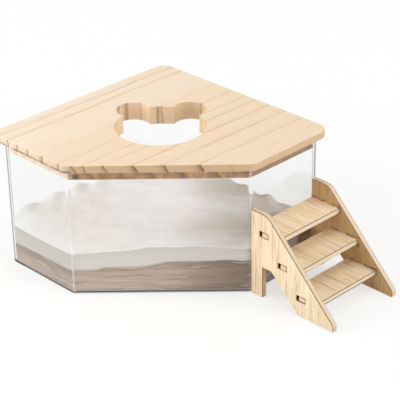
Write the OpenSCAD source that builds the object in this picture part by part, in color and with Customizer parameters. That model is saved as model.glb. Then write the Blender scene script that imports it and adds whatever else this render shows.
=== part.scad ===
// Corner sand bath for a small pet: a clear tank with its front corner cut off, a rebated
// wooden lid with a head-shaped opening, two layers of bathing sand, and a free-standing
// stair of slotted plywood beside it.
// Millimetres. +Z is up, and z = 0 is the surface that it stands on. The origin lies under
// the middle of the lid's square plan. The square back corner points to -X +Y, the cut
// front faces +X -Y, and the stair runs out along +X from the right short wall.

/* [Lid] */
// Length of the two long sides, to the sharp corners
lid_side = 250; // [210:5:320]
// Length of the two short sides beside the cut front, to the sharp corners
lid_short_side = 115; // [100:1:150]
// Thickness of the rim that rests on the tank
lid_rim_t = 8.5; // [5:0.5:14]
// Depth of the plug that drops into the tank
lid_plug_t = 12.5; // [5:0.5:18]
// Overhang of the lid beyond the tank wall
lid_overhang = 7.4; // [3:0.2:14]
// Radius of the three square corners
lid_corner_r = 14; // [6:1:24]
// Radius of the two blunt corners at the cut front
lid_front_r = 10; // [6:1:24]

/* [Lid opening] */
// Radius of the round head
head_r = 48; // [35:1:56]
// Distance from the lid's middle back to the centre of the head
head_back = 11.5; // [0:0.5:25]
// Radius of each ear
ear_r = 18; // [12:0.5:22]
// Distance from the centre of the head to the centre of each ear
ear_reach = 51.5; // [44:0.5:58]
// Angle of each ear from the line to the back corner
ear_angle = 36.5; // [30:0.5:45]

/* [Tank] */
// Height of the tank
tank_h = 144; // [100:1:200]
// Thickness of the clear wall
wall_t = 3; // [2:0.5:5]
// Thickness of the clear base
base_t = 2; // [1.5:0.5:6]
// Radius inside the three square bends of the wall
bend_r = 7; // [3:0.5:15]
// Radius inside the two blunt bends at the cut front
front_bend_r = 6; // [3:0.5:15]
// Width of the glue line between the base and the wall
glue_gap = 0.1; // [0.05:0.05:0.3]
// Gap between the lid's plug and the inside of the wall
plug_gap = 0.8; // [0.4:0.1:2]
// Gap between the lid's rim and the top of the wall
seat_gap = 0.1; // [0.05:0.05:0.5]

/* [Sand] */
// Depth of the dark lower sand at the left corner
lower_left = 20; // [12:0.5:28]
// Depth of the dark lower sand at the right corner
lower_right = 38; // [20:0.5:48]
// Depth of the pale upper sand over it at the left corner, without the bank
upper_left = 37; // [26:0.5:42]
// Depth of the pale upper sand over it at the right corner
upper_right = 6.5; // [6:0.5:20]
// Height above the base at which the sand meets the left wall
bank_h = 42; // [36:0.5:50]
// Slope of the bank behind that wall, at its front end
bank_front = 0.18; // [0.05:0.01:0.5]
// Slope of the bank behind that wall, at its back end
bank_back = 1; // [0.5:0.05:1.4]
// Width over which the top of the bank is rounded
bank_round = 3; // [1:0.5:8]
// Rise of a ripple's crest above the mean surface, near the left and right corners
ripple_rise = 2.1; // [0:0.1:4]
// Distance from one ripple's crest to the next, along a long wall
ripple_pitch = 33.6; // [25:0.1:60]
// Distance from a long wall at which the ripples have died out
ripple_reach = 45; // [20:1:120]
// Rise of a dune's crest above the mean surface, at the right corner
dune_rise = 1.2; // [0:0.1:2]
// Distance from one dune's crest to the next, along a long wall
dune_pitch = 54.5; // [40:0.5:120]
// Gap from the sand to the wall, and from one layer to the other
sand_gap = 0.3; // [0.1:0.1:0.6]

/* [Stair sides] */
// Width over both sides
stair_w = 99; // [80:1:115]
// Length from the back edge to the front tip
stair_run = 112; // [100:1:140]
// Height of the sides
stair_h = 98; // [92:1:125]
// Thickness of the plywood
board_t = 6; // [4:0.5:9]
// Length of the level top edge, to the sharp corner
side_top = 22; // [16:0.5:30]
// Radius between the top edge and the slope
side_top_r = 16; // [4:1:24]
// Height of the blunt front end, to the sharp corner
side_tip = 7; // [4:0.5:12]
// Radius between the slope and the blunt front end
side_tip_r = 5; // [1:0.5:8]
// Width of the back leg
leg_w = 16; // [10:0.5:22]
// Height of the arch between the feet
arch_h = 36; // [25:1:40]
// Length of the arch's level top
arch_top = 12; // [6:0.5:16]
// Length of the arch along the floor
arch_floor = 49; // [40:1:56]
// Gap between the back of the stair and the tank
stair_gap = 0.8; // [0.5:0.1:40]
// Distance of the stair's middle from the middle of the lid's short side, towards the front
stair_forward = 5.5; // [-10:0.5:12]

/* [Treads] */
// Height of the lowest tread's upper face
first_step = 23; // [18:0.5:28]
// Rise from one tread to the next
step_rise = 27.2; // [24:0.2:30]
// Distance from the front of one tread to the front of the next
step_run = 25.6; // [22:0.2:28]
// Depth of each tread
tread_d = 38.4; // [30:0.2:42]
// Length of the tab at each end of a tread
tab_l = 8.5; // [6:0.5:14]
// Length of the slot left open behind each tab
slot_spare = 3.4; // [0:0.2:6]
// Clearance round a tab in its slot, and at the ends of a tread
slot_gap = 0.1; // [0.05:0.05:0.4]

/* [Hidden] */

$fn = 96;
steps = 3;
cut_over = 1;
sand_rings = 10;
sand_mesh = 8;
arc_parts = 3;
ripple_phase = 115;
dune_phase = 65;

clear_acrylic = [0.86, 0.91, 0.93, 0.35];
dark_sand = [0.60, 0.54, 0.49];
pale_sand = [0.88, 0.86, 0.83];
pale_board = [0.93, 0.81, 0.65];
plywood = [0.91, 0.77, 0.58];

half_side = lid_side / 2;
inner_inset = lid_overhang + wall_t;
base_inset = inner_inset + glue_gap;
plug_inset = inner_inset + plug_gap;
sand_inset = inner_inset + sand_gap;
lid_z = tank_h + seat_gap;
stair_x = half_side - lid_overhang + stair_gap;
stair_y = half_side - lid_short_side / 2 - stair_forward - stair_w / 2;
inner_w = stair_w - 2 * board_t;

function unit(v) = v / norm(v);
function half_angle(a, p, b) = acos(unit(a - p) * unit(b - p)) / 2;

// Centre of an arc of radius r that rounds corner p between its neighbours a and b
function arc_centre(a, p, b, r) =
    p + unit(unit(a - p) + unit(b - p)) * r / sin(half_angle(a, p, b));

// Point where that arc meets the side that runs from p towards a
function arc_end(a, p, b, r) = p + unit(a - p) * r / tan(half_angle(a, p, b));

function before(list, i) = list[(i + len(list) - 1) % len(list)];
function after(list, i) = list[(i + 1) % len(list)];

// Sector that rounds corner p between its neighbours a and b
module corner_sector(a, p, b, r) {
    centre = arc_centre(a, p, b, r);
    intersection() {
        translate(centre)
            circle(r = r);
        polygon([centre, arc_end(a, p, b, r), p, arc_end(b, p, a, r)]);
    }
}

// Outline through the given corners, each rounded by a true arc of its own radius.
// A corner of radius zero stays sharp, and so does every hollow corner.
module rounded_outline(corners, radii) {
    last = len(corners) - 1;
    polygon([
        for (i = [0 : last])
            let (a = before(corners, i), p = corners[i], b = after(corners, i))
                each radii[i] > 0
                    ? [arc_end(a, p, b, radii[i]), arc_end(b, p, a, radii[i])]
                    : [p]
    ]);
    for (i = [0 : last])
        if (radii[i] > 0)
            corner_sector(before(corners, i), corners[i], after(corners, i), radii[i]);
}

// Sharp corners of the plan, set in from the lid's edge: left, front left, front right,
// right and back
function plan_corners(inset) =
    let (reach = half_side - inset, cut = lid_short_side - inset * sqrt(2))
    [
        [-reach, -reach],
        [cut - reach, -reach],
        [reach, reach - cut],
        [reach, reach],
        [-reach, reach]
    ];

function plan_radii(square_r, blunt_r) = [square_r, blunt_r, blunt_r, square_r, square_r];

module plan(inset, square_r, blunt_r) {
    rounded_outline(plan_corners(inset), plan_radii(square_r, blunt_r));
}

// Plate glued inside the foot of the wall
module tank_base() {
    color(clear_acrylic)
        linear_extrude(base_t)
            plan(base_inset, bend_r - glue_gap, front_bend_r - glue_gap);
}

// Band bent round the plan
module tank_wall() {
    color(clear_acrylic)
        linear_extrude(tank_h)
            difference() {
                plan(lid_overhang, bend_r + wall_t, front_bend_r + wall_t);
                plan(inner_inset, bend_r, front_bend_r);
            }
}

// Head and two ears, which meet in a hollow on each side
module lid_opening() {
    rotate(45)
        translate([0, head_back]) {
            circle(r = head_r);
            for (side = [-1, 1])
                rotate(side * ear_angle)
                    translate([0, ear_reach])
                        circle(r = ear_r);
        }
}

module lid_board() {
    color(pale_board)
        difference() {
            union() {
                translate([0, 0, lid_z])
                    linear_extrude(lid_rim_t)
                        plan(0, lid_corner_r, lid_front_r);
                translate([0, 0, lid_z - lid_plug_t])
                    linear_extrude(lid_plug_t)
                        plan(plug_inset, bend_r - plug_gap, front_bend_r - plug_gap);
            }
            translate([0, 0, lid_z - lid_plug_t - cut_over])
                linear_extrude(lid_plug_t + lid_rim_t + 2 * cut_over)
                    lid_opening();
        }
}

// Points along the arc that rounds corner p, from the side towards a to the side towards b
function arc_points(a, p, b, r) =
    let (
        centre = arc_centre(a, p, b, r),
        from = arc_end(a, p, b, r) - centre,
        to = arc_end(b, p, a, r) - centre,
        turn = 180 - 2 * half_angle(a, p, b)
    )
    [
        for (k = [0 : arc_parts])
            let (t = k / arc_parts)
                centre + (from * sin((1 - t) * turn) + to * sin(t * turn)) / sin(turn)
    ];

// Points between the ends of one side, without the ends
function side_points(from, to) =
    let (parts = ceil(norm(to - from) / sand_mesh))
    [for (k = [1 : parts - 1]) from + (to - from) * k / parts];

// Edge of the sand bed, just inside the wall
function sand_edge() =
    let (
        corners = plan_corners(sand_inset),
        radii = plan_radii(bend_r - sand_gap, front_bend_r - sand_gap),
        arcs = [
            for (i = [0 : len(corners) - 1])
                arc_points(before(corners, i), corners[i], after(corners, i), radii[i])
        ]
    )
    [
        for (i = [0 : len(arcs) - 1])
            each concat(arcs[i], side_points(arcs[i][arc_parts], after(arcs, i)[0]))
    ];

// Share of the way from the left corner to the right corner
function across(p) = 0.5 + (p.x + p.y) / (2 * lid_side);

// Height of the sloping plane between the two sands
function lower_surface(p) =
    base_t + lower_left + (lower_right - lower_left) * across(p);

// Share of a ripple's rise that is left at a distance from the nearer long wall
function near_long_wall(p) =
    let (distance = half_side - sand_inset + min(p.x, -p.y))
    max(0, 1 - distance / ripple_reach) ^ 2;

// Ripples along the long walls, which die out towards the back corner
function ripple(p) =
    ripple_rise * near_long_wall(p) * min(1, abs(p.x + p.y) / half_side)
    * sin(ripple_phase + 360 * (p.x + p.y) / ripple_pitch);

// Low dunes that run from the left to the right and grow on the way
function dune(p) =
    dune_rise * across(p) * sin(dune_phase + 360 * (p.y - p.x) / dune_pitch);

// Height of the bank behind the left wall, which is steepest at the back
function bank(p) =
    let (
        left = plan_corners(sand_inset)[0],
        front_left = plan_corners(sand_inset)[1],
        back_share = max(0, (front_left.x - p.x) / (front_left.x - left.x)),
        slope = bank_front + (bank_back - bank_front) * back_share ^ 2
    )
    base_t + bank_h + (p.y - left.y) * slope;

// The rippled bed, or the bank where that is lower, with a rounded crest between them
function upper_surface(p) =
    let (
        level = lower_surface(p) + upper_left + (upper_right - upper_left) * across(p),
        bed = level + ripple(p) + dune(p),
        bank = bank(p)
    )
    (bed + bank - sqrt((bed - bank) ^ 2 + bank_round ^ 2)) / 2;

// Everything between the base and the plane that parts the two sands
module below_upper_sand() {
    reach = half_side * sqrt(2);
    rotate(45)
        rotate([90, 0, 0])
            linear_extrude(2 * reach, center = true)
                polygon([
                    [-reach, base_t],
                    [reach, base_t],
                    [reach, base_t + lower_right],
                    [-reach, base_t + lower_left]
                ]);
}

module sand_lower_layer() {
    color(dark_sand)
        intersection() {
            linear_extrude(tank_h)
                plan(sand_inset, bend_r - sand_gap, front_bend_r - sand_gap);
            below_upper_sand();
        }
}

// Sand with a flat underside, and a surface on rings that shrink to the middle of the bed
module sand_upper_layer() {
    edge = sand_edge();
    count = len(edge);
    size = 1 + sand_rings * count;
    flat = concat(
        [[0, 0]],
        [for (ring = [1 : sand_rings], p = edge) p * ring / sand_rings]
    );
    points = concat(
        [for (p = flat) [p.x, p.y, upper_surface(p)]],
        [for (p = edge) [p.x, p.y, lower_surface(p) + sand_gap]]
    );
    function at(ring, i) = ring == 0 ? 0 : 1 + (ring - 1) * count + i % count;
    skin = [
        for (ring = [1 : sand_rings], i = [0 : count - 1])
            each concat(
                [[at(ring, i), at(ring - 1, i), at(ring, i + 1)]],
                ring == 1 ? [] : [[at(ring, i + 1), at(ring - 1, i), at(ring - 1, i + 1)]]
            )
    ];
    rim = [
        for (i = [0 : count - 1])
            let (
                a = at(sand_rings, i),
                b = at(sand_rings, i + 1),
                under_a = size + i,
                under_b = size + (i + 1) % count
            )
                each [[a, b, under_a], [b, under_b, under_a]]
    ];
    under = [for (i = [0 : count - 1]) size + i];
    color(pale_sand)
        polyhedron(points, concat(skin, rim, [under]));
}

// Back edge and upper face of a tread, counted from the lowest
function tread_back(step) = (steps - 1 - step) * step_run;
function tread_top_z(step) = first_step + step * step_rise;

function tab_start() = (tread_d - tab_l) / 2;

module stair_profile() {
    corners = [
        [0, 0],
        [leg_w, 0],
        [leg_w, arch_h],
        [leg_w + arch_top, arch_h],
        [leg_w + arch_floor, 0],
        [stair_run, 0],
        [stair_run, side_tip],
        [side_top, stair_h],
        [0, stair_h]
    ];
    radii = [0, 0, 0, 0, 0, 0, side_tip_r, side_top_r, 0];
    rounded_outline(corners, radii);
}

// Slot for one tread's tab, open behind the tab
module tab_slot(step) {
    translate([
        tread_back(step) + tab_start() - slot_spare,
        tread_top_z(step) - board_t - slot_gap
    ])
        square([slot_spare + tab_l + slot_gap, board_t + 2 * slot_gap]);
}

module stringer(from_y) {
    color(plywood)
        translate([stair_x, stair_y + from_y + board_t, 0])
            rotate([90, 0, 0])
                linear_extrude(board_t)
                    difference() {
                        stair_profile();
                        for (step = [0 : steps - 1])
                            tab_slot(step);
                    }
}

// Board between the sides, with a tab through each side
module tread(step) {
    color(plywood)
        translate([stair_x + tread_back(step), stair_y, tread_top_z(step) - board_t])
            linear_extrude(board_t) {
                translate([0, board_t + slot_gap])
                    square([tread_d, inner_w - 2 * slot_gap]);
                translate([tab_start(), 0])
                    square([tab_l, stair_w]);
            }
}

module stringer_left() {
    stringer(0);
}

module stringer_right() {
    stringer(stair_w - board_t);
}

module tread_bottom() {
    tread(0);
}

module tread_middle() {
    tread(1);
}

module tread_top() {
    tread(2);
}

tank_base();
tank_wall();
sand_lower_layer();
sand_upper_layer();
lid_board();
stringer_left();
stringer_right();
tread_bottom();
tread_middle();
tread_top();
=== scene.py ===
import math

import bpy
from mathutils import Matrix, Vector, noise


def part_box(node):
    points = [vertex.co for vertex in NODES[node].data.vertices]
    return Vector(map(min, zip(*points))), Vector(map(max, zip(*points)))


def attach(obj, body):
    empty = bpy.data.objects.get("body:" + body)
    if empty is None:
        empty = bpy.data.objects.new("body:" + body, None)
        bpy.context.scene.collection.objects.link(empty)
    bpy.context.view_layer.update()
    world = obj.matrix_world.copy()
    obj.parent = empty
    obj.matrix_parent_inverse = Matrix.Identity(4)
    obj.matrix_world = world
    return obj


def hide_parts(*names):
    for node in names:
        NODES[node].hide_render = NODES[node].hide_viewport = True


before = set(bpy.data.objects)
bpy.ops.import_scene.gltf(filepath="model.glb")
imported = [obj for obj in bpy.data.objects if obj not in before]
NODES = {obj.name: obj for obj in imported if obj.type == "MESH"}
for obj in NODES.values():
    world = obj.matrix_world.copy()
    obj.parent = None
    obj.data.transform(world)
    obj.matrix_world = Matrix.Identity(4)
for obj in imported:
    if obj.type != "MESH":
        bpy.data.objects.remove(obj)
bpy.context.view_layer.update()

MM = 0.001
X, Y, Z = 0, 1, 2

# Plan of the part, in millimetres, as in the part's source
LID_SIDE = 250.0
HALF_SIDE = LID_SIDE / 2
LID_SHORT_SIDE = 115.0
RIM_T = 8.5
OPENING_CENTRE = (-8.1, 8.1, 0.0)
WALL_INSET = 10.4
BEND_R = 6.0
BASE_T = 2.0
BOARD_T = 6.0
TAB_L = 8.5
SLOT_SPARE = 3.4
TREADS = ("tread_bottom", "tread_middle", "tread_top")

# Camera of the photograph: degrees and millimetres
CAMERA_AZIMUTH = 45.502
CAMERA_ELEVATION = 28.005
CAMERA_ROLL = -0.887
CAMERA_TARGET = (28.4, 28.4, 69.6)
CAMERA_DISTANCE = 1625.1
CAMERA_LENS = 137.43
SENSOR = 36.0

# Light, as the brightness that each gives a white face turned to it
AMBIENT = 0.50
LAMPS = {
    # name: (azimuth, elevation, distance in metres, side in metres, brightness)
    "left_softbox": (-37.0, 22.0, 1.7, 0.9, 0.61),
    "right_softbox": (116.0, 22.0, 1.7, 0.9, 0.40),
    "top_softbox": (20.0, 78.0, 1.7, 1.1, 0.24),
}
LAMP_AIM = Vector((0.02, 0.02, 0.07))

# Floor: metres, and how much it glows near the part and far from it, which are in millimetres
FLOOR_SIZE = 12.0
FLOOR_DROP = 0.0002
FLOOR_NEAR = 180.0
FLOOR_FAR = 480.0
FLOOR_GLOW_NEAR = 0.62
FLOOR_GLOW_FAR = 0.97

# Growth rings of the lid's board: where each ends on the top face, in X, and how dark its line is
# on that face and on the end grain
RINGS = (
    (-109, 0.45, 0.90), (-95, 1.00, 0.95), (-82, 0.00, 0.95), (-63, 0.06, 0.95), (-40, 0.14, 0.95),
    (-14, 0.45, 0.80), (-3, 0.10, 1.00), (4, 1.00, 0.95), (20, 0.95, 0.95), (41, 0.75, 0.95),
    (63, 0.75, 0.95), (87, 0.45, 0.95), (109, 0.20, 0.15),
)
# Slant of the rings down through the board, width of a line's sharp side and how far rings stray
RING_SLANT = 0.30
RING_EDGE = 0.9
RING_WANDER = 9.0
RING_WAVER = 2.8
# How suddenly a ring darkens towards its end, as a power
FACE_LINE_POWER = 14.0
END_LINE_POWER = 8.0
PLUG_LINE_POWER = 3.5
LATE_WOOD_POWER = 5.0
# Distance from the opening's middle over which its wall gives way to the outer sides, and the dark
# stripes in that wall, in X: ring lines, with painted shade where the wall turns between the ears
OPENING_REACH = (74.0, 84.0)
OPENING_STRIPES = (-76, -45, -18)
# A knot in the plug, and the shadow above the rim's foot
KNOT = (-9.7, -108.9, 135.2)
KNOT_R = (1.5, 4.5)
RIM_SHADOW = (1.4, 3.4)

# Plywood of the stair: axis of each board's thickness, axis of its grain, and its place in the wood
BOARDS = {
    "stringer_left": (Y, Z, (0, 0, 0)),
    "stringer_right": (Y, Z, (310, 40, 170)),
    "tread_bottom": (Z, X, (90, 0, 0)),
    "tread_middle": (Z, X, (500, 230, 60)),
    "tread_top": (Z, X, (900, 510, 20)),
}
PLY_T = BOARD_T / 5
# How far behind a side's front the arch starts, how far past a slot the burn and painted shade go,
# and how far past a tread the painted contact shadow goes
ARCH_MARGIN = 8.0
SLOT_MARGIN = 0.6
CONTACT_SHADOW_MARGIN = 2.6
TAB_MARGIN = 1.2
# Burnt lines on a cut edge: how far from its arris they start and are darkest. The lower one is on
# the bottom tread.
BURNT_LINE = (0.9, 0.4)
LOWER_LINE = (2.0, 1.2)

# Eased edges: width in millimetres, and number of steps
LID_EASE = (0.9, 3)
SIDE_EASE = (0.5, 1)
TREAD_EASE = (0.42, 1)
# Reach of joined points, in metres, and in degrees the angle of faces that count as flat and of
# edges that are eased
WELD_REACH = 0.00001
FLAT_ANGLE = 0.5
EASED_ANGLE = 40.0

# Glass: index of refraction, and the painted contact shadow at the foot of the left wall, with its
# height in Z, where it is full towards the left corner, in X, and how strong it is elsewhere
ACRYLIC_IOR = 1.49
FOOT_SHADOW_HEIGHT = (2.4, 1.4)
FOOT_SHADOW_CORNER = (-70.0, -108.0)
FOOT_SHADOW_SHARE = 0.5

# Painted highlight: a milky strip down the middle of each blunt bend, in millimetres
HIGHLIGHT_R = 7.5
HIGHLIGHT_T = 0.5
HIGHLIGHT_HALF_WIDTH = 1.2
HIGHLIGHT_STEPS = 4
BLUNT_HALF_ANGLE = math.radians(67.5)
BEND_HIGHLIGHTS = {
    # name: (the way it faces, in degrees, and how milky it is above the sand)
    "bend_highlight_front_left": (-67.5, 0.04),
    "bend_highlight_front_right": (-22.5, 0.18),
}
# How milky a highlight strip is beside the sand, and where that changes, in Z
HIGHLIGHT_IN_SAND = 0.18
SAND_MARK = (40.0, 60.0)

# Sand, as in the part's source: millimetres, degrees for a phase, and slopes of the bank
LOWER_LEFT = 20.0
LOWER_RIGHT = 38.0
UPPER_LEFT = 37.0
UPPER_RIGHT = 6.5
BANK_H = 42.0
BANK_FRONT = 0.18
BANK_BACK = 1.0
BANK_ROUND = 3.0
RIPPLE_RISE = 2.1
RIPPLE_PITCH = 33.6
RIPPLE_REACH = 45.0
RIPPLE_PHASE = 115.0
DUNE_RISE = 1.2
DUNE_PITCH = 54.5
DUNE_PHASE = 65.0
SAND_BACK_R = 6.7
SAND_FRONT_R = 5.7

# Lift of the dark sand and of the sand's top along the cut front: X + Y, and millimetres
FRONT_DARK = (
    (-125, 0.0), (-96, 0.2), (-84, 1.5), (-20, 0.9), (10, 5.2), (45, 3.3), (80, 3.4), (125, 0.6),
)
FRONT_TOP = (
    (-125, 2.6), (-95, 1.8), (-50, 0.1), (-16, 2.2), (22, 1.9), (45, 3.3), (78, 3.6), (96, 1.5),
    (125, 0.1),
)
FRONT_REACH = 45.0

# Fine relief of the sand: height and size in millimetres, and a number that picks its pattern
BOUNDARY_RELIEF = ((1.4, 30, 3.1), (0.8, 9, 7.7))
BED_RELIEF = ((1.0, 34, 1.3),)
SURFACE_RELIEF = ((0.6, 12, 5.9), (0.2, 4, 9.2))
SWAY_RELIEF = ((9.0, 60, 4.4),)
CALM_MEAN = 0.85
CALM_RELIEF = ((0.9, 48, 6.3),)
# How far the sand's side draws back, as a share of its distance from the middle, and the size,
# pattern and step from column to column of that relief
SIDE_RELIEF = 0.0012
SIDE_SIZE = 6
SIDE_PATTERN = 2.2
SIDE_STEP = 1.7

# Mesh of the sand: points round its edge and on a bend, rings from its middle, rows down its side
SAND_COLUMNS = 520
BEND_STEPS = 12
FINE_RINGS = 110
COARSE_RINGS = 14
SAND_ROWS = 10
# Room left above and below each layer, and below the sand, in millimetres
LAYER_GAP = 0.05
SAND_LIFT = 0.1


def srgb(red, green, blue):
    """A colour written as 0 to 255, as the linear values that a shader takes."""
    def linear(level):
        share = level / 255
        return share / 12.92 if share <= 0.04045 else ((share + 0.055) / 1.055) ** 2.4
    return (linear(red), linear(green), linear(blue), 1.0)


# Colours of the materials. A tint is multiplied into another colour.
WHITE = (1, 1, 1, 1)
LID_TONES = {
    # The wood's colour with painted light, paler at the left than at the right
    "left": srgb(244, 226, 205),
    "right": srgb(239, 215, 187),
    "patch": srgb(241, 218, 184),
    "late_wood": srgb(216, 178, 132),
    "streak": srgb(190, 148, 102),
    # Painted shade of the outer sides, and the lighter painted shade of the sides turned to the
    # left
    "side_shade_tint": srgb(226, 213, 197),
    "left_side_shade_tint": srgb(232, 230, 228),
    # Painted shade inside the opening, lighter at its left end than at its right
    "opening_left_shade": srgb(252, 240, 228),
    "opening_right_shade": srgb(236, 228, 211),
    # Painted shade on the plug below the rim, deeper on its right face
    "plug_shade_tint": srgb(243, 213, 172),
    "right_plug_shade_tint": srgb(190, 160, 128),
    # Painted light on the plug's left face
    "lit_left_plug": srgb(226, 204, 184),
    "face_line": srgb(150, 110, 66),
    "end_line": srgb(100, 66, 34),
    "plug_line": srgb(116, 72, 24),
    "rim_shadow": srgb(128, 92, 56),
    "stripe": srgb(118, 82, 46),
    "knot": srgb(84, 50, 22),
}
PLY_TONES = {
    "pale_band": srgb(247, 227, 197),
    "dark_band": srgb(241, 215, 176),
    "line": srgb(190, 144, 92),
    "dash": srgb(146, 102, 60),
    "pale_ply": srgb(234, 212, 184),
    "dark_ply": srgb(222, 197, 165),
    # Painted shade on the cut edges that face down or lie inside the arch
    "underside": srgb(218, 174, 126),
    # Burnt, with painted shade, inside the slots
    "slot": srgb(66, 44, 28),
    "low_tint": srgb(245, 248, 250),
    # Painted shade on the far side's inside face
    "inward_shade_tint": srgb(214, 196, 168),
    # Painted contact shadow round the treads
    "contact_shadow": srgb(92, 60, 32),
    "front": srgb(252, 240, 218),
    "lower_line": srgb(84, 50, 28),
    "burnt_line": srgb(96, 64, 38),
    "char": srgb(70, 45, 26),
    "pale_char": srgb(122, 86, 52),
    "tab_rim": srgb(206, 172, 128),
}
ACRYLIC_TONES = {
    "clear": (0.975, 0.985, 0.985, 1),
    # Painted dark reflection in the bends seen edge on
    "edge_on_dark_reflection": (0.09, 0.095, 0.11, 1),
    "light_through": (0.99, 0.995, 0.995, 1),
    # Colour of the painted highlight strips
    "highlight_milk": (0.98, 0.98, 0.98, 1),
    "sawn": srgb(206, 212, 214),
    # Painted contact shadow at the foot of the walls and on the base's edge
    "glue": srgb(58, 53, 49),
    "base_glue": srgb(60, 54, 49),
}
PALE_TONES = {
    # The top's colour, and its paler colour at the left with painted light
    "light": srgb(240, 241, 244),
    "left_painted_light": srgb(251, 252, 255),
    # Painted shade in the dunes' hollows
    "hollow": srgb(206, 200, 192),
    # Painted shade at the far right, near the left wall and on faces turned to the left
    "far_right_shade": srgb(232, 230, 226),
    "near_left_shade": srgb(236, 233, 228),
    "facing_left_shade": srgb(247, 248, 249),
    "wall": srgb(223, 215, 207),
    # Painted shade behind the left wall
    "left_wall_shade": srgb(214, 213, 211),
    # Painted highlight on the sand's lip along the glass
    "lit_lip": srgb(250, 248, 244),
}
DARK_TONES = {
    "left": srgb(190, 168, 152),
    "right": srgb(135, 109, 88),
    # Painted shade behind the left wall
    "left_wall_shade": srgb(216, 213, 210),
    "dark_streak": srgb(104, 82, 66),
    "pale_streak": srgb(212, 197, 181),
}
FLOOR_TONES = {
    "paper": (0.93, 0.93, 0.92, 1),
    "glow": (1, 1, 0.99, 1),
}
# Short names for inputs of the plain shader
PRINCIPLED = {
    "normal": "Normal",
    "ior": "IOR",
    "specular": "Specular IOR Level",
    "transmission": "Transmission Weight",
}


class Graph:
    """The nodes of a material or a world. Most calls add nodes and give back an output."""

    def __init__(self, owner):
        self.owner = owner
        owner.use_nodes = True
        self.nodes = owner.node_tree.nodes
        self.links = owner.node_tree.links
        self.nodes.clear()

    def put(self, socket, value):
        """Sets an input to a number or colour, or joins an output to it."""
        if isinstance(value, bpy.types.NodeSocket):
            self.links.new(value, socket)
        else:
            socket.default_value = value

    def add(self, kind, inputs=None, **settings):
        """A new node."""
        node = self.nodes.new("ShaderNode" + kind)
        for key, value in settings.items():
            setattr(node, key, value)
        for key, value in (inputs or {}).items():
            self.put(node.inputs[key], value)
        return node

    def math(self, operation, *values):
        """One step of arithmetic."""
        node = self.add("Math", operation=operation)
        for socket, value in zip(node.inputs, values):
            self.put(socket, value)
        return node.outputs[0]

    def times(self, product, *factors):
        """All the values multiplied."""
        for factor in factors:
            product = self.math("MULTIPLY", product, factor)
        return product

    def distance(self, value, middle):
        """How far a value is from a number, on either side."""
        return self.math("ABSOLUTE", self.math("SUBTRACT", value, middle))

    def vector(self, operation, first, second):
        """One step of arithmetic on vectors."""
        return self.add("VectorMath", {0: first, 1: second}, operation=operation).outputs[0]

    def length(self, vector):
        """The length of a vector."""
        return self.add("VectorMath", {0: vector}, operation="LENGTH").outputs[1]

    def split(self, vector):
        """The three parts of a vector."""
        return self.add("SeparateXYZ", {0: vector}).outputs

    def join(self, x, y, z):
        """A vector from its three parts."""
        return self.add("CombineXYZ", {0: x, 1: y, 2: z}).outputs[0]

    def span(self, value, low, high, to_low=0.0, to_high=1.0):
        """The value, moved from one range to another and held inside it."""
        inputs = {0: value, 1: low, 2: high, 3: to_low, 4: to_high}
        return self.add("MapRange", inputs, clamp=True).outputs[0]

    def smooth(self, value, low, high):
        """A soft step from 0 at low to 1 at high."""
        inputs = {0: value, 1: low, 2: high, 3: 0.0, 4: 1.0}
        return self.add("MapRange", inputs, interpolation_type="SMOOTHSTEP").outputs[0]

    def noise(self, place, stretch, detail=2.0, roughness=0.5):
        """Noise from 0 to 1 whose features are about stretch millimetres in X, Y and Z."""
        scaled = self.vector("DIVIDE", place, stretch)
        inputs = {"Vector": scaled, "Scale": 1.0, "Detail": detail, "Roughness": roughness}
        return self.add("TexNoise", inputs).outputs[0]

    def sway(self, place, stretch, detail=2.0, roughness=0.5):
        """Noise from -0.5 to 0.5."""
        return self.math("SUBTRACT", self.noise(place, stretch, detail, roughness), 0.5)

    def specks(self, place, size):
        """A random level for each grain of about size millimetres."""
        inputs = {"Vector": self.vector("DIVIDE", place, (size,) * 3), "Scale": 1.0}
        return self.split(self.add("TexVoronoi", inputs).outputs["Color"])[0]

    def attribute(self, name):
        """A value that the mesh carries."""
        return self.add("Attribute", attribute_name=name).outputs["Fac"]

    def mix(self, share, first, second, blend="MIX"):
        """The first colour, changed to the second by a share."""
        node = self.add("Mix", data_type="RGBA", blend_type=blend)
        self.put(node.inputs[0], share)
        self.put(node.inputs[6], first)
        self.put(node.inputs[7], second)
        return node.outputs[2]

    def tint(self, share, colour, tone):
        """The colour, multiplied by a tone as far as the share says."""
        return self.mix(share, colour, tone, "MULTIPLY")

    def shade(self, colour, level):
        """The colour, times a level."""
        grey = self.add("CombineColor", {0: level, 1: level, 2: level}).outputs[0]
        return self.tint(1.0, colour, grey)

    def place(self):
        """Where a point is on the resting part, in millimetres."""
        found = self.add("TexCoord").outputs["Object"]
        return self.vector("MULTIPLY", found, (1 / MM,) * 3)

    def turned(self):
        """Which way the surface faces, as the three parts of its normal."""
        return self.split(self.add("TexCoord").outputs["Normal"])

    def bump(self, height, depth, strength=0.5):
        """A normal roughened by a height, depth millimetres deep."""
        inputs = {"Strength": strength, "Distance": depth * MM, "Height": height}
        return self.add("Bump", inputs).outputs[0]

    def principled(self, colour, roughness, **inputs):
        """A shader for a plain surface."""
        named = {"Base Color": colour, "Roughness": roughness}
        named.update({PRINCIPLED[key]: value for key, value in inputs.items()})
        return self.add("BsdfPrincipled", named).outputs[0]

    def blend(self, share, first, second):
        """The first shader, changed to the second by a share."""
        return self.add("MixShader", {0: share, 1: first, 2: second}).outputs[0]

    def finish(self, shader, kind="OutputMaterial"):
        """Ends the graph with its shader and gives back what owns it."""
        self.add(kind, {"Surface": shader})
        return self.owner


def new_material(name):
    """The empty graph of a new material."""
    return Graph(bpy.data.materials.new(name))


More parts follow.
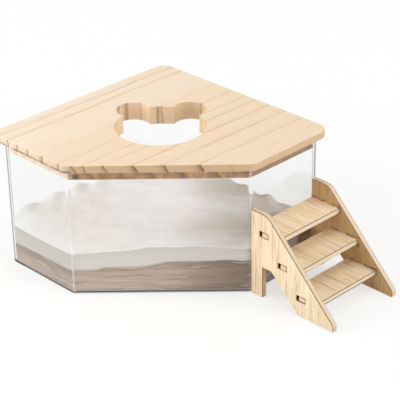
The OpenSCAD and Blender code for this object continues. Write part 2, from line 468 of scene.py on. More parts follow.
class LidPlaces:
    """Where a point of the lid is, and masks from 0 to 1 for the lid's faces."""

    def __init__(self, g):
        self.place = g.place()
        self.x, self.y, self.z = g.split(self.place)
        self.nx, self.ny, nz = g.turned()
        self.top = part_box("lid_board")[1].z / MM
        self.wander = g.sway(self.place, (70, 260, 70))
        self.to_left = g.times(g.smooth(self.ny, -0.2, -0.75), g.smooth(self.x, -3.5, -5.0))
        self.end_grain = g.smooth(g.math("ABSOLUTE", self.ny), 0.3, 0.65)
        side = g.span(g.math("ABSOLUTE", nz), 0.3, 0.7, 1.0, 0.0)
        in_plan = g.vector("MULTIPLY", self.place, (1, 1, 0))
        from_opening = g.length(g.vector("SUBTRACT", in_plan, OPENING_CENTRE))
        self.outer = g.times(side, g.smooth(from_opening, *OPENING_REACH))
        self.inner = g.math("SUBTRACT", side, self.outer)
        under_rim = g.math("LESS_THAN", self.z, self.top - RIM_T)
        self.plug = g.times(self.outer, under_rim)
        self.lit_left_plug = g.times(self.plug, g.smooth(self.ny, -0.85, -0.97))


def ring_stops(g, across):
    """How far a point is through its growth ring, from 0 to 1, and how dark the ring's end is."""
    node = g.add("ValToRGB", {0: g.span(across, -HALF_SIDE, HALF_SIDE)})
    stops = node.color_ramp.elements
    stops[0].color = (0.5, *RINGS[0][1:], 1)
    stops[1].color = (0.5, 0, 0, 1)
    for i, (ring, *dark) in enumerate(RINGS):
        dark_after = RINGS[i + 1][1:] if i + 1 < len(RINGS) else (0.0, 0.0)
        for offset, level, strengths in ((0.0, 1.0, dark), (RING_EDGE, 0.0, dark_after)):
            stop = stops.new((ring + offset + HALF_SIDE) / LID_SIDE)
            stop.color = (level, *strengths, 1)
    return g.split(node.outputs[0])


def lid_rings(g, at):
    """The growth rings, which slant down through the board and waver along it."""
    slant = g.span(at.to_left, 0.0, 1.0, RING_SLANT, 0.0)
    across = g.math("MULTIPLY_ADD", g.math("SUBTRACT", at.z, at.top), slant, at.x)
    across = g.math("MULTIPLY_ADD", at.wander, RING_WANDER, across)
    waver = g.sway(at.place, (8, 45, 8))
    return ring_stops(g, g.math("MULTIPLY_ADD", waver, RING_WAVER, across))


def lid_lines(g, at, phase, dark, end_dark):
    """How strong the dark line at the end of a ring is."""
    broken = g.span(g.noise(at.place, (10, 38, 10)), 0.40, 0.60, 0.15, 1.0)
    varied = g.span(g.noise(at.place, (16, 500, 16)), 0.38, 0.60, 0.55, 1.0)
    varied = g.math("MAXIMUM", varied, g.smooth(at.x, -70.0, -90.0))
    shown = g.times(dark, g.span(at.y, -110.0, 0.0, 0.60, 0.90))
    on_face = g.times(g.math("POWER", phase, FACE_LINE_POWER), broken, varied, shown)
    on_end = g.times(g.math("POWER", phase, END_LINE_POWER), end_dark)
    on_end = g.times(on_end, g.span(at.inner, 0.0, 1.0, 1.0, 0.4))
    line = g.add("Mix", {0: at.end_grain, 2: on_face, 3: on_end}).outputs[0]
    on_plug = g.times(g.math("POWER", phase, PLUG_LINE_POWER), 0.85, at.plug, at.end_grain)
    line = g.math("MAXIMUM", line, on_plug)
    return g.times(line, g.span(at.lit_left_plug, 0.0, 1.0, 1.0, 0.3))


def lid_body(g, at, phase, dark, fibre_level):
    """The plain wood, paler at the left with painted light from that side, with soft patches, late
    wood and streaks.
    """
    # Painted light: the wood is paler towards the left, where the lamps are brighter
    less_lit = g.smooth(g.math("MULTIPLY_ADD", at.wander, 60.0, at.x), -110.0, 30.0)
    body = g.mix(less_lit, LID_TONES["left"], LID_TONES["right"])
    patch = g.smooth(g.noise(at.place, (26, 150, 26)), 0.35, 0.65)
    body = g.mix(g.times(patch, 0.5), body, LID_TONES["patch"])
    late = g.times(g.math("POWER", phase, LATE_WOOD_POWER), 0.45, dark)
    body = g.mix(late, body, LID_TONES["late_wood"])
    streak = g.smooth(g.noise(at.place, (1.4, 80, 1.4)), 0.60, 0.74)
    body = g.mix(g.times(streak, 0.26), body, LID_TONES["streak"])
    return g.shade(body, fibre_level)


def lid_sides(g, at, body, fibre_level):
    """The wood's colour, browned with painted shade on the sides, in the opening and on the plug,
    and with painted light on the plug's left face.
    """
    # Painted shade on the outer sides, which the lamps light less than the top; less of it on the
    # sides turned to the left
    side_shade = g.mix(at.to_left, LID_TONES["side_shade_tint"], LID_TONES["left_side_shade_tint"])
    body = g.tint(at.outer, body, side_shade)
    # Painted shade on the opening's wall, deeper towards its far right
    to_far = g.smooth(g.math("ADD", at.x, at.y), -45.0, 45.0)
    shaded = g.mix(to_far, LID_TONES["opening_left_shade"], LID_TONES["opening_right_shade"])
    body = g.tint(at.inner, body, shaded)
    # Painted shade on the plug below the rim's overhang, blotchy, and deeper on its right face
    blotch = g.span(g.noise(at.place, (7, 7, 9), 3.0), 0.35, 0.65, 0.55, 1.05)
    to_right = g.smooth(at.nx, 0.85, 0.98)
    plug_shade = g.mix(to_right, LID_TONES["plug_shade_tint"], LID_TONES["right_plug_shade_tint"])
    body = g.tint(at.plug, body, g.shade(plug_shade, blotch))
    # Painted light: the plug's left face, which the left lamp lights, is pale and not shaded
    return g.mix(at.lit_left_plug, body, g.shade(LID_TONES["lit_left_plug"], fibre_level))


def lid_marks(g, at, body, line):
    """The wood with its dark lines, the rim's shadow, the opening's stripes and the knot."""
    line_tone = g.mix(at.end_grain, LID_TONES["face_line"], LID_TONES["end_line"])
    line_tone = g.mix(at.plug, line_tone, LID_TONES["plug_line"])
    body = g.mix(line, body, line_tone)
    rim_foot = at.top - RIM_T
    shadow = g.span(at.z, rim_foot + RIM_SHADOW[0], rim_foot + RIM_SHADOW[1], 0.8, 0.0)
    shadow = g.times(shadow, g.span(g.noise(at.place, (9, 9, 9)), 0.34, 0.50))
    left_rim = g.times(at.to_left, g.math("SUBTRACT", at.outer, at.plug))
    body = g.mix(g.times(shadow, left_rim), body, LID_TONES["rim_shadow"])
    # Dark stripes in the opening's wall: ring lines, with painted shade where the wall turns
    for stripe in OPENING_STRIPES:
        strength = g.span(g.distance(at.x, stripe), 0.2, 1.2, 0.55, 0.0)
        body = g.mix(g.times(at.inner, strength), body, LID_TONES["stripe"])
    from_knot = g.length(g.vector("SUBTRACT", at.place, KNOT))
    in_knot = g.times(at.outer, g.span(from_knot, *KNOT_R, 0.95, 0.0))
    return g.mix(in_knot, body, LID_TONES["knot"])


def lid_wood():
    """Pale board with wide growth rings, its grain along Y."""
    g = new_material("pale_board_wood")
    at = LidPlaces(g)
    phase, dark, end_dark = lid_rings(g, at)
    line = lid_lines(g, at, phase, dark, end_dark)
    fibre = g.noise(at.place, (0.7, 26, 0.7), 3.0, 0.6)
    fibre_level = g.span(fibre, 0.3, 0.7, 0.94, 1.05)
    body = lid_body(g, at, phase, dark, fibre_level)
    body = lid_sides(g, at, body, fibre_level)
    body = lid_marks(g, at, body, line)
    normal = g.bump(g.math("SUBTRACT", fibre, g.times(line, 0.8)), 0.12)
    rough = g.span(fibre, 0.3, 0.7, 0.62, 0.74)
    return g.finish(g.principled(body, rough, normal=normal, specular=0.3))


def tread_spans():
    """The X and Z ranges of the stair's treads, in millimetres."""
    for tread in TREADS:
        low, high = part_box(tread)
        yield low.x / MM, high.x / MM, low.z / MM, high.z / MM


def slot_spans():
    """The X and Z ranges of the slots in the stair's sides, in millimetres."""
    for x_low, x_high, z_low, z_high in tread_spans():
        middle = (x_low + x_high) / 2
        yield middle - TAB_L / 2 - SLOT_SPARE, middle + TAB_L / 2, z_low, z_high


def inside_spans(g, parts, spans, margin):
    """1 inside these X and Z ranges and up to margin millimetres beside them, and 0 elsewhere."""
    inside = 0.0
    for x_low, x_high, z_low, z_high in spans:
        off_x = g.distance(parts[X], (x_low + x_high) / 2)
        off_z = g.distance(parts[Z], (z_low + z_high) / 2)
        near_x = g.math("LESS_THAN", off_x, (x_high - x_low) / 2 + margin)
        near_z = g.math("LESS_THAN", off_z, (z_high - z_low) / 2 + margin)
        inside = g.math("MAXIMUM", g.times(near_x, near_z), inside)
    return inside


def ply_face(g, place, grain, dash_share):
    """The veneer's colour with its bands, lines and dashes, and its fine streaks."""
    def along(fine, length):
        """Sizes of noise that is drawn out along the grain."""
        return tuple(length if axis == grain else fine for axis in (X, Y, Z))

    band = g.smooth(g.noise(place, along(9, 190)), 0.3, 0.7)
    face = g.mix(band, PLY_TONES["pale_band"], PLY_TONES["dark_band"])
    streak = g.noise(place, along(1.5, 70), 3.0, 0.6)
    face = g.shade(face, g.span(streak, 0.3, 0.7, 0.91, 1.05))
    lines = g.smooth(g.noise(place, along(2.0, 46)), 0.58, 0.68)
    face = g.mix(g.times(lines, 0.50), face, PLY_TONES["line"])
    dashes = g.smooth(g.noise(place, along(1.2, 24)), 0.62, 0.69)
    return g.mix(g.times(dashes, dash_share), face, PLY_TONES["dash"]), streak


def ply_edge(g, place, out):
    """The colour of the plies on a cut edge, out millimetres from the board's middle."""
    ply = g.smooth(g.math("PINGPONG", out, PLY_T), PLY_T * 0.35, PLY_T * 0.65)
    edge = g.mix(ply, PLY_TONES["pale_ply"], PLY_TONES["dark_ply"])
    sawn = g.noise(place, (1.2, 1.2, 1.2), 3.0)
    return g.shade(edge, g.span(sawn, 0.3, 0.7, 0.90, 1.06))


def side_edge(g, parts, turned, front, edge):
    """The cut edge of a stair side, browner with painted shade where it faces down and in the arch,
    and burnt and darkened with painted shade in the slots.
    """
    # Painted shade on the edges that face down and on those inside the arch
    below = g.span(turned[Z], -0.2, 0.2, 1.0, 0.0)
    upright = g.math("LESS_THAN", g.math("ABSOLUTE", turned[Z]), 0.2)
    in_arch = g.times(upright, g.math("LESS_THAN", parts[X], front - ARCH_MARGIN))
    edge = g.mix(g.math("MAXIMUM", below, in_arch), edge, PLY_TONES["underside"])
    # Slots: burnt, and darker still with painted shade in their recess
    return g.mix(inside_spans(g, parts, slot_spans(), SLOT_MARGIN), edge, PLY_TONES["slot"])


def shade_far_face(g, place, parts, turned, face):
    """The face of the far side, with painted shade on the inside and a painted contact shadow round
    the treads.
    """
    # Painted shade on the inside face
    inward = g.math("LESS_THAN", turned[Y], -0.7)
    face = g.tint(inward, face, PLY_TONES["inward_shade_tint"])
    # Painted contact shadow just above and below each tread on the inside face
    contact_shadow = g.smooth(g.noise(place, (7, 7, 4), 3.0), 0.44, 0.60)
    contact_shadow = g.times(contact_shadow, inside_spans(g, parts, tread_spans(), CONTACT_SHADOW_MARGIN), inward, 0.6)
    return g.mix(contact_shadow, face, PLY_TONES["contact_shadow"])


def plywood(name, thin, grain, shift):
    """Laser-cut plywood. thin and grain are the axes of its thickness and its grain."""
    g = new_material("plywood_" + name)
    here = g.place()
    place = g.vector("ADD", here, shift)
    low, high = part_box(name)
    parts = g.split(here)
    turned = g.turned()
    middle = (low[thin] + high[thin]) / 2 / MM
    out = g.distance(parts[thin], middle)

    face, streak = ply_face(g, place, grain, 0.60 if name in TREADS else 0.40)
    edge = ply_edge(g, place, out)
    if name in TREADS:
        front = g.math("GREATER_THAN", turned[X], 0.7)
        edge = g.mix(g.times(front, 0.25), edge, PLY_TONES["front"])
    else:
        edge = side_edge(g, parts, turned, high.x / MM, edge)
    if name == "stringer_left":
        face = g.tint(g.smooth(parts[Z], 48.0, 12.0), face, PLY_TONES["low_tint"])
    if name == "stringer_right":
        face = shade_far_face(g, place, parts, turned, face)
    if name == "tread_top":
        face = g.shade(face, 1.06)
    if name == "tread_bottom":
        beneath = g.math("SUBTRACT", middle, parts[Z])
        lower = g.smooth(beneath, *(BOARD_T / 2 - inset for inset in LOWER_LINE))
        edge = g.mix(g.times(lower, 0.75), edge, PLY_TONES["lower_line"])
    burnt = g.smooth(out, *(BOARD_T / 2 - inset for inset in BURNT_LINE))
    edge = g.mix(g.times(burnt, 0.9), edge, PLY_TONES["burnt_line"])

    cut = g.math("LESS_THAN", g.math("ABSOLUTE", turned[thin]), 0.7)
    body = g.mix(cut, face, edge)
    rough = g.span(streak, 0.3, 0.7, 0.58, 0.70)
    return g.finish(g.principled(body, rough, normal=g.bump(streak, 0.10), specular=0.35))


def burnt_edge():
    """The browned arris that the laser leaves along a cut, paler round the tabs."""
    g = new_material("burnt_edge")
    place = g.place()
    char = g.noise(place, (1.6, 1.6, 1.6), 3.0)
    body = g.mix(g.span(char, 0.3, 0.7), PLY_TONES["char"], PLY_TONES["pale_char"])
    round_tab = inside_spans(g, g.split(place), slot_spans(), TAB_MARGIN)
    body = g.mix(g.times(round_tab, 0.65), body, PLY_TONES["tab_rim"])
    return g.finish(g.principled(body, 0.75))


def lamps_pass(g, shader):
    """The shader, but clear to the rays that carry light through it."""
    clear = g.add("BsdfTransparent", {0: ACRYLIC_TONES["light_through"]}).outputs[0]
    path = g.add("LightPath").outputs
    for ray in ("Is Diffuse Ray", "Is Shadow Ray"):
        shader = g.blend(path[ray], shader, clear)
    return shader


def in_bend(g, x, y, nx, ny):
    """1 in the wall's bends, and 0 on its flat sides, of which the cut front is diagonal."""
    bent = g.math("MINIMUM", g.math("ABSOLUTE", nx), g.math("ABSOLUTE", ny))
    diagonal = g.math("LESS_THAN", g.math("ABSOLUTE", g.math("ADD", nx, ny)), 0.05)
    cut_front = g.times(diagonal, g.math("GREATER_THAN", x, y))
    bent = g.times(bent, g.math("SUBTRACT", 1.0, cut_front))
    return g.smooth(bent, 0.05, 0.2)


def clear_acrylic():
    """Polished clear sheet, with a painted dark reflection where a bend is seen edge on, and a
    painted contact shadow at its left foot.
    """
    g = new_material("clear_acrylic_sheet")
    x, y, z = g.split(g.place())
    nx, ny, nz = g.turned()
    # Painted reflection: the bends turn dark where they are seen edge on
    facing = g.add("LayerWeight", {"Blend": 0.5}).outputs["Facing"]
    dark = g.times(in_bend(g, x, y, nx, ny), g.smooth(facing, 0.34, 0.54))
    tone = g.mix(dark, ACRYLIC_TONES["clear"], ACRYLIC_TONES["edge_on_dark_reflection"])
    sheet = g.principled(tone, 0.0, transmission=1.0, ior=ACRYLIC_IOR)
    # Painted contact shadow on the wall's underside, where it stands on the base
    foot = g.math("LESS_THAN", nz, 0.0)
    sawn = g.principled(g.mix(foot, ACRYLIC_TONES["sawn"], ACRYLIC_TONES["glue"]), 0.5)
    level = g.math("GREATER_THAN", g.math("ABSOLUTE", nz), 0.5)
    wall = g.blend(level, sheet, sawn)
    # Painted contact shadow along the foot of the left wall, full towards the left corner
    left_wall = g.times(g.smooth(ny, -0.75, -0.92), FOOT_SHADOW_SHARE)
    glued = g.math("MAXIMUM", left_wall, g.smooth(x, *FOOT_SHADOW_CORNER))
    glued = g.times(glued, g.smooth(ny, -0.3, -0.8), g.smooth(z, *FOOT_SHADOW_HEIGHT))
    wall = g.blend(glued, wall, g.principled(ACRYLIC_TONES["glue"], 0.5))
    return g.finish(lamps_pass(g, wall))


def clear_base():
    """Clear plate whose sawn edge is darkened with a painted contact shadow."""
    g = new_material("clear_acrylic_base")
    edge = g.span(g.math("ABSOLUTE", g.turned()[Z]), 0.4, 0.6, 1.0, 0.0)
    sheet = g.principled(ACRYLIC_TONES["clear"], 0.0, transmission=1.0, ior=ACRYLIC_IOR)
    glue = g.principled(ACRYLIC_TONES["base_glue"], 0.5)
    return g.finish(lamps_pass(g, g.blend(edge, sheet, glue)))


def bend_highlight(name, share_above):
    """Painted highlight: a milky strip in a bend. share_above is how milky it is above the sand."""
    g = new_material("painted_highlight_" + name)
    highlight_milk = g.principled(ACRYLIC_TONES["highlight_milk"], 0.6)
    clear = g.add("BsdfTransparent").outputs[0]
    share = g.span(g.split(g.place())[Z], *SAND_MARK, HIGHLIGHT_IN_SAND, share_above)
    return g.finish(g.blend(share, clear, highlight_milk))


def grains(g, place, body):
    """A shader of the colour, broken up into grains and dark specks."""
    grain = g.noise(place, (0.5, 0.5, 0.5), 2.0, 0.7)
    body = g.shade(body, g.span(grain, 0.25, 0.75, 0.95, 1.04))
    body = g.shade(body, g.span(g.specks(place, 0.9), 0.90, 1.0, 1.0, 0.90))
    return g.principled(body, 0.95, normal=g.bump(grain, 0.25), specular=0.2)


def hollows(g, place, turned_place):
    """How deep a point is in the painted shade of the dunes' hollows at the right."""
    to_right, to_back, _ = g.split(turned_place)
    warp = g.sway(place, (55, 55, 55), 3.0)
    right = g.smooth(g.math("MULTIPLY_ADD", warp, 70.0, to_right), 2.0, 116.0)
    along = g.math("MULTIPLY_ADD", warp, 60.0, to_back)
    crest = g.math("COSINE", g.times(g.math("ADD", along, 38.0), 2 * math.pi / 140))
    hollow = g.times(right, g.math("MULTIPLY_ADD", crest, 0.42, 0.60))
    streak = g.sway(turned_place, (70, 13, 13), 3.0, 0.6)
    hollow = g.math("MULTIPLY_ADD", g.times(streak, 1.3), right, hollow)
    return g.span(g.times(hollow, g.span(to_back, -98.0, -42.0, 0.50, 1.0)), 0.0, 1.0)


def pale_top(g, place, near_left, ny):
    """The colour of the sand's top, with painted light at the left and painted shade in the dunes.
    """
    x, y, z = g.split(place)
    to_right = g.math("ADD", x, y)
    turned_place = g.join(to_right, g.math("SUBTRACT", y, x), z)
    # Painted light: the top is paler towards the left, where the lamps are brighter
    left = g.smooth(to_right, -20.0, -130.0)
    light = g.mix(left, PALE_TONES["light"], PALE_TONES["left_painted_light"])
    # Painted shade in the hollows of the dunes at the right
    top = g.mix(hollows(g, place, turned_place), light, PALE_TONES["hollow"])
    mottle = g.noise(turned_place, (52, 26, 26), 3.0, 0.55)
    top = g.shade(top, g.span(mottle, 0.35, 0.65, 0.965, 1.02))
    # Painted shade: darker at the far right, near the left wall and on faces turned to the left
    top = g.tint(g.smooth(to_right, 118.0, 150.0), top, PALE_TONES["far_right_shade"])
    top = g.tint(near_left, top, PALE_TONES["near_left_shade"])
    return g.tint(g.smooth(ny, -0.08, -0.5), top, PALE_TONES["facing_left_shade"])


def pale_wall(g, place, ny):
    """The colour of the sand behind the glass, darker just below its top, with painted shade behind
    the left wall.
    """
    flow = g.noise(place, (60, 60, 5), 4.0, 0.6)
    wall = g.shade(PALE_TONES["wall"], g.span(flow, 0.3, 0.7, 0.94, 1.03))
    wall = g.shade(wall, g.span(g.attribute("depth"), 0.05, 0.45, 0.90, 1.0))
    # Painted shade on the sand behind the left wall
    return g.tint(g.smooth(ny, -0.8, -0.95), wall, PALE_TONES["left_wall_shade"])


def pale_sand():
    """Loose pale sand, with a painted highlight on its lip along the glass."""
    g = new_material("pale_sand_grains")
    place = g.place()
    x, y, _ = g.split(place)
    _, ny, nz = g.turned()
    near_left = g.smooth(y, -30.0, -112.0)
    top = pale_top(g, place, near_left, ny)
    body = g.mix(g.smooth(nz, 0.2, 0.6), pale_wall(g, place, ny), top)
    # Painted highlight along the sand's top edge at the glass, faint near the left wall
    at_left_wall = g.times(near_left, g.smooth(x, 5.0, -20.0))
    lit_lip = g.times(g.attribute("lit_lip"), g.span(at_left_wall, 0.0, 1.0, 0.7, 0.05))
    return g.finish(grains(g, place, g.mix(lit_lip, body, PALE_TONES["lit_lip"])))


def dark_sand():
    """Loose grey-brown sand in streaks, darker at the right and just below its top; painted shade
    at the left wall.
    """
    g = new_material("dark_sand_grains")
    place = g.place()
    x, y, z = g.split(place)
    drift = g.sway(place, (50, 50, 8), 3.0)
    right = g.smooth(g.math("MULTIPLY_ADD", drift, 60.0, g.math("ADD", x, y)), -30.0, 120.0)
    body = g.mix(right, DARK_TONES["left"], DARK_TONES["right"])
    # Painted shade on the sand behind the left wall
    left = g.smooth(g.turned()[Y], -0.8, -0.95)
    body = g.tint(left, body, DARK_TONES["left_wall_shade"])
    swayed = g.join(x, y, g.math("MULTIPLY_ADD", g.sway(place, (38, 38, 38)), 9.0, z))
    flow = g.noise(swayed, (70, 70, 4.5), 4.0, 0.65)
    body = g.shade(body, g.span(flow, 0.3, 0.7, 0.78, 1.20))
    dark_streak = g.smooth(g.noise(swayed, (48, 48, 2.8)), 0.57, 0.67)
    body = g.mix(g.times(dark_streak, 0.42), body, DARK_TONES["dark_streak"])
    pale_streak = g.smooth(g.noise(swayed, (30, 30, 2.0)), 0.58, 0.68)
    body = g.mix(g.times(pale_streak, 0.60), body, DARK_TONES["pale_streak"])
    # Darker just below the top, and more so behind the left wall
    top_darkening = g.span(left, 0.0, 1.0, 0.86, 0.62)
    body = g.shade(body, g.span(g.attribute("depth"), 0.04, 0.50, top_darkening, 1.05))
    return g.finish(grains(g, place, body))


def put_in_scene(name, data):
    """A new object in the scene."""
    thing = bpy.data.objects.new(name, data)
    bpy.context.scene.collection.objects.link(thing)
    return thing


def new_mesh(name, verts, faces, material):
    """A mesh of one material."""
    mesh = bpy.data.meshes.new(name)
    mesh.from_pydata(verts, [], faces)
    mesh.materials.append(material)
    return mesh


def rounded(corners):
    """Points along a closed path whose corners, each with its radius, are rounded."""
    path = []
    for i, (px, py, radius) in enumerate(corners):
        here = Vector((px, py))
        before = (Vector(corners[i - 1][:2]) - here).normalized()
        after = (Vector(corners[(i + 1) % len(corners)][:2]) - here).normalized()
        half_angle = before.angle(after) / 2
        centre = here + (before + after).normalized() * radius / math.sin(half_angle)
        first = here + before * radius / math.tan(half_angle) - centre
        last = here + after * radius / math.tan(half_angle) - centre
        sweep = first.angle_signed(last)
        for k in range(BEND_STEPS + 1):
            turn = Matrix.Rotation(-sweep * k / BEND_STEPS, 2)
            path.append(centre + turn @ first)
    return path


def outline(half, cut):
    """Points round the sand's plan, evenly spaced."""
    path = rounded([
        (-half, half, SAND_BACK_R),
        (-half, -half, SAND_BACK_R),
        (cut - half, -half, SAND_FRONT_R),
        (half, half - cut, SAND_FRONT_R),
        (half, half, SAND_BACK_R),
    ])
    lengths = [0.0]
    for i, point in enumerate(path):
        lengths.append(lengths[-1] + (path[(i + 1) % len(path)] - point).length)
    points, at = [], 0
    for k in range(SAND_COLUMNS):
        want = lengths[-1] * k / SAND_COLUMNS
        while lengths[at + 1] < want:
            at += 1
        share = (want - lengths[at]) / (lengths[at + 1] - lengths[at])
        points.append(path[at].lerp(path[(at + 1) % len(path)], share))
    return points


def pattern(x, y, size, seed):
    """Smooth noise from about -1 to 1, with features of about size millimetres."""
    return noise.noise(Vector((x / size, y / size, seed)))


def relief(x, y, table):
    """The sum of the noises in a table of heights, sizes and seeds."""
    return sum(height * pattern(x, y, size, seed) for height, size, seed in table)


def front_lift(x, y, stations):
    """Lift between the stations along the cut front, which dies out behind it."""
    behind = (LID_SHORT_SIDE - (x - y)) / math.sqrt(2) - WALL_INSET
    share = min(1.0, max(0.0, 1 - behind / FRONT_REACH))
    lift = stations[0][1]
    for (start, low), (end, high) in zip(stations, stations[1:]):
        t = min(1.0, max(0.0, (x + y - start) / (end - start)))
        if t > 0:
            lift = low + (high - low) * t * t * (3 - 2 * t)
    return share ** 2 * lift


def to_far_right(x, y):
    """How far across the part a point is, from 0 at the left corner to 1 at the right one."""
    return 0.5 + (x + y) / (2 * LID_SIDE)


def boundary(x, y):
    """Height of the line between the two sands."""
    height = BASE_T + LOWER_LEFT + (LOWER_RIGHT - LOWER_LEFT) * to_far_right(x, y)
    return height + front_lift(x, y, FRONT_DARK) + relief(x, y, BOUNDARY_RELIEF)


def wave(phase, distance, pitch):
    """A wave from -1 to 1, with its phase in degrees."""
    return math.sin(math.radians(phase + 360 * distance / pitch))


def surface(x, y):
    """Height of the sand's top: a rippled bed, or the bank at the left wall where that is lower."""
    across = to_far_right(x, y)
    half = HALF_SIDE - WALL_INSET
    front_left = LID_SHORT_SIDE - WALL_INSET * math.sqrt(2) - half
    bed = BASE_T + LOWER_LEFT + UPPER_LEFT
    bed += (LOWER_RIGHT + UPPER_RIGHT - LOWER_LEFT - UPPER_LEFT) * across
    to_wall = min(half + x, half - y)
    calm = max(0.0, 1 - to_wall / RIPPLE_REACH) ** 2
    calm *= CALM_MEAN + relief(x, y, CALM_RELIEF)
    sway = relief(x, y, SWAY_RELIEF)
    rise = RIPPLE_RISE * min(1.0, abs(x + y) / HALF_SIDE)
    bed += rise * calm * wave(RIPPLE_PHASE, x + y + sway, RIPPLE_PITCH)
    bed += DUNE_RISE * across * wave(DUNE_PHASE, y - x + sway, DUNE_PITCH)
    bed += relief(x, y, BED_RELIEF)
    back_share = max(0.0, (front_left - x) / (front_left + half))
    slope = BANK_FRONT + (BANK_BACK - BANK_FRONT) * back_share ** 2
    bank = BASE_T + BANK_H + (y + half) * slope
    height = (bed + bank - math.hypot(bed - bank, BANK_ROUND)) / 2
    return height + front_lift(x, y, FRONT_TOP) + relief(x, y, SURFACE_RELIEF)


class Layer:
    """The points and faces of a closed layer of sand inside the plan's edge."""

    def __init__(self, edge, low, high, rings):
        self.edge = edge
        self.columns = len(edge)
        self.verts, self.faces = [], []
        self.top_edge = self.sheet(high, rings, -LAYER_GAP)
        split = len(self.faces)
        self.bottom_edge = self.sheet(low, COARSE_RINGS, LAYER_GAP)
        self.faces[split:] = [tuple(reversed(face)) for face in self.faces[split:]]
        self.first_row = len(self.verts)
        self.side()

    def sheet(self, height, rings, lift):
        """Adds a sheet at a height, in rings round its middle, and gives its edge's first point."""
        verts, faces, columns = self.verts, self.faces, self.columns
        start = len(verts)
        verts.append((0.0, 0.0, (height(0.0, 0.0) + lift) * MM))
        for ring in range(1, rings + 1):
            for point in self.edge:
                x, y = point * (ring / rings)
                verts.append((x * MM, y * MM, (height(x, y) + lift) * MM))
        for i in range(columns):
            after = (i + 1) % columns
            faces.append((start, start + 1 + i, start + 1 + after))
            for ring in range(rings - 1):
                inner = start + 1 + ring * columns
                outer = inner + columns
                faces.append((inner + i, outer + i, outer + after, inner + after))
        return start + 1 + (rings - 1) * columns

    def row(self, share):
        """Adds a row of points down the side, drawn back a little by relief."""
        start = len(self.verts)
        for i, point in enumerate(self.edge):
            upper = self.verts[self.top_edge + i][Z]
            lower = self.verts[self.bottom_edge + i][Z]
            z = upper + (lower - upper) * share
            back = 0.5 + 0.5 * pattern(i * SIDE_STEP, z / MM, SIDE_SIZE, SIDE_PATTERN)
            inward = 1.0 - SIDE_RELIEF * back
            self.verts.append((point.x * inward * MM, point.y * inward * MM, z))
        return start

    def side(self):
        """Adds the side between the edges of the two sheets."""
        above = self.top_edge
        for row in range(1, SAND_ROWS + 1):
            below = self.bottom_edge if row == SAND_ROWS else self.row(row / SAND_ROWS)
            for i in range(self.columns):
                after = (i + 1) % self.columns
                self.faces.append((above + i, below + i, below + after, above + after))
            above = below

    def mark(self, mesh):
        """Gives the mesh its lip along the top edge, and its depth below it from 0 to 1."""
        lit_lip = mesh.attributes.new("lit_lip", "FLOAT", "POINT")
        depth = mesh.attributes.new("depth", "FLOAT", "POINT")
        for i in range(self.columns):
            lit_lip.data[self.top_edge + i].value = 1.0
            depth.data[self.bottom_edge + i].value = 1.0
            for row in range(1, SAND_ROWS):
                point = self.first_row + (row - 1) * self.columns + i
                depth.data[point].value = row / SAND_ROWS


def add_layer(name, layer, material, node):
    """A layer of sand in the scene, in place of its CAD node."""
    mesh = new_mesh(name, layer.verts, layer.faces, material)
    mesh.validate()
    mesh.polygons.foreach_set("use_smooth", [True] * len(mesh.polygons))
    layer.mark(mesh)
    piece = put_in_scene(name, mesh)
    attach(piece, "tank")
    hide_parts(node)


def add_sand():
    """The two layers of sand, in the plan of their CAD nodes."""
    bed = NODES["sand_upper_layer"]
    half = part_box("sand_upper_layer")[1].x / MM
    cut = max(v.co.x - v.co.y for v in bed.data.vertices) / MM
    edge = outline(half, cut)
    floor_of_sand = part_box("sand_lower_layer")[0].z / MM + SAND_LIFT
    lower = Layer(edge, lambda x, y: floor_of_sand, boundary, COARSE_RINGS)
    add_layer("sand_bed_dark", lower, dark_sand(), "sand_lower_layer")
    upper = Layer(edge, boundary, surface, FINE_RINGS)
    add_layer("sand_bed_pale", upper, pale_sand(), "sand_upper_layer")


def add_bend_highlights():
    """A thin upright strip of painted highlight in the middle of each blunt bend of the wall."""
    half = HALF_SIDE - WALL_INSET
    cut = LID_SHORT_SIDE - WALL_INSET * math.sqrt(2)
    foot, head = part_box("tank_wall")
    corners = (Vector((cut - half, -half)), Vector((half, half - cut)))
    spread = HIGHLIGHT_HALF_WIDTH / HIGHLIGHT_R
    turns = range(-HIGHLIGHT_STEPS, HIGHLIGHT_STEPS + 1)
    for corner, (name, (facing, share_above)) in zip(corners, BEND_HIGHLIGHTS.items()):
        outward = math.radians(facing)
        away = Vector((math.cos(outward), math.sin(outward)))
        centre = corner - away * BEND_R / math.sin(BLUNT_HALF_ANGLE)
        ring = []
        for radius, steps in ((HIGHLIGHT_R + HIGHLIGHT_T / 2, turns), (HIGHLIGHT_R - HIGHLIGHT_T / 2, turns[::-1])):
            for step in steps:
                angle = outward + spread * step / HIGHLIGHT_STEPS
                ring.append(centre + radius * Vector((math.cos(angle), math.sin(angle))))
        count = len(ring)
        verts = [(p.x * MM, p.y * MM, z) for z in (foot.z + MM, head.z - MM) for p in ring]
        faces = [(i, (i + 1) % count, count + (i + 1) % count, count + i) for i in range(count)]
        faces += [tuple(reversed(range(count))), tuple(range(count, 2 * count))]
        strip = put_in_scene(name, new_mesh(name, verts, faces, bend_highlight(name, share_above)))
        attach(strip, "tank")


def dress(node, *materials):
    """Gives a CAD node its materials."""
    slots = NODES[node].data.materials
    slots.clear()
    for material in materials:
        slots.append(material)


def ease(node, width, segments, slot=-1):
    """Rounds a CAD node's sharp edges a little. slot is the material of the rounding."""
    modifiers = NODES[node].modifiers
    weld = modifiers.new("joined", "WELD")
    weld.merge_threshold = WELD_REACH
    flat = modifiers.new("flat_faces", "DECIMATE")
    flat.decimate_type = "DISSOLVE"
    flat.angle_limit = math.radians(FLAT_ANGLE)
    bevel = modifiers.new("eased_edges", "BEVEL")
    bevel.width = width * MM
    bevel.segments = segments
    bevel.limit_method = "ANGLE"
    bevel.angle_limit = math.radians(EASED_ANGLE)
    bevel.material = slot
    normals = modifiers.new("normals", "WEIGHTED_NORMAL")
    normals.keep_sharp = True


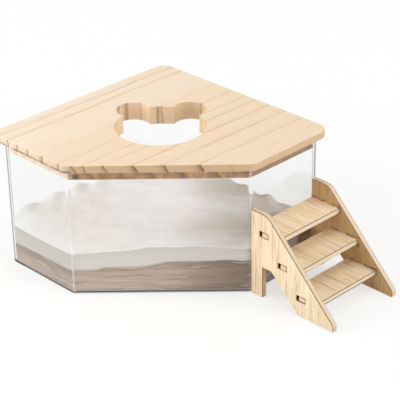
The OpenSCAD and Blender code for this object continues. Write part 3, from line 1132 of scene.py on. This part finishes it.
def from_sky(azimuth, elevation):
    """The direction to a point in the sky; azimuth 0 is the -Y side and 90 the +X side."""
    a, e = math.radians(azimuth), math.radians(elevation)
    return Vector((math.sin(a) * math.cos(e), -math.cos(a) * math.cos(e), math.sin(e)))


def add_camera():
    """The camera, placed as in the photograph."""
    back = from_sky(CAMERA_AZIMUTH, CAMERA_ELEVATION)
    right = Vector((0, 0, 1)).cross(back).normalized()
    up = back.cross(right)
    roll = math.radians(CAMERA_ROLL)
    turned_right = math.cos(roll) * right + math.sin(roll) * up
    turned_up = math.cos(roll) * up - math.sin(roll) * right
    data = bpy.data.cameras.new("camera")
    data.lens = CAMERA_LENS
    data.sensor_width = SENSOR
    camera = put_in_scene("camera", data)
    matrix = Matrix((turned_right, turned_up, back)).transposed().to_4x4()
    matrix.translation = (Vector(CAMERA_TARGET) + back * CAMERA_DISTANCE) * MM
    camera.matrix_world = matrix
    bpy.context.scene.camera = camera


def add_lamps():
    """Large soft lamps at the left, at the right and above."""
    for name, (azimuth, elevation, distance, side, brightness) in LAMPS.items():
        data = bpy.data.lights.new(name, "AREA")
        data.shape = "SQUARE"
        data.size = side
        data.energy = brightness * (math.pi * distance) ** 2
        lamp = put_in_scene(name, data)
        towards = from_sky(azimuth, elevation)
        lamp.location = LAMP_AIM + towards * distance
        lamp.rotation_euler = towards.to_track_quat("Z", "Y").to_euler()


def seen_as_white(g):
    """1 for the rays that show the white surroundings, and 0 for those that carry light."""
    path = g.add("LightPath").outputs
    shown = path["Is Camera Ray"]
    for ray in ("Is Glossy Ray", "Is Transmission Ray"):
        shown = g.math("MAXIMUM", shown, path[ray])
    return g.times(shown, g.math("LESS_THAN", path["Diffuse Depth"], 0.5))


def add_world():
    """White surroundings, which light the part less than they show."""
    g = Graph(bpy.data.worlds.new("surroundings"))
    strength = g.span(seen_as_white(g), 0.0, 1.0, AMBIENT, 1.0)
    sky = g.add("Background", {"Color": WHITE, "Strength": strength}).outputs[0]
    bpy.context.scene.world = g.finish(sky, "OutputWorld")


def add_floor():
    """Pale floor that fades to white far from the part."""
    g = new_material("pale_floor")
    paper = g.add("BsdfDiffuse", {0: FLOOR_TONES["paper"]}).outputs[0]
    glow = g.add("Emission", {0: FLOOR_TONES["glow"], 1: 1.0}).outputs[0]
    away = g.length(g.place())
    glow_share = g.span(away, FLOOR_NEAR, FLOOR_FAR, FLOOR_GLOW_NEAR, FLOOR_GLOW_FAR)
    paint = g.finish(g.blend(g.times(seen_as_white(g), glow_share), paper, glow))
    half = FLOOR_SIZE / 2
    corners = [(-half, -half, 0), (half, -half, 0), (half, half, 0), (-half, half, 0)]
    floor = put_in_scene("floor", new_mesh("floor", corners, [(0, 1, 2, 3)], paint))
    floor.location.z = -FLOOR_DROP


bpy.context.scene.view_settings.view_transform = "Standard"
add_camera()
add_world()
add_lamps()
add_floor()

dress("tank_wall", clear_acrylic())
dress("tank_base", clear_base())
dress("lid_board", lid_wood())
ease("lid_board", *LID_EASE)
rim = burnt_edge()
for board, (thin, grain, shift) in BOARDS.items():
    dress(board, plywood(board, thin, grain, shift), rim)
    ease(board, *(TREAD_EASE if board in TREADS else SIDE_EASE), slot=1)
# Painted highlights down the wall's blunt bends
add_bend_highlights()
add_sand()
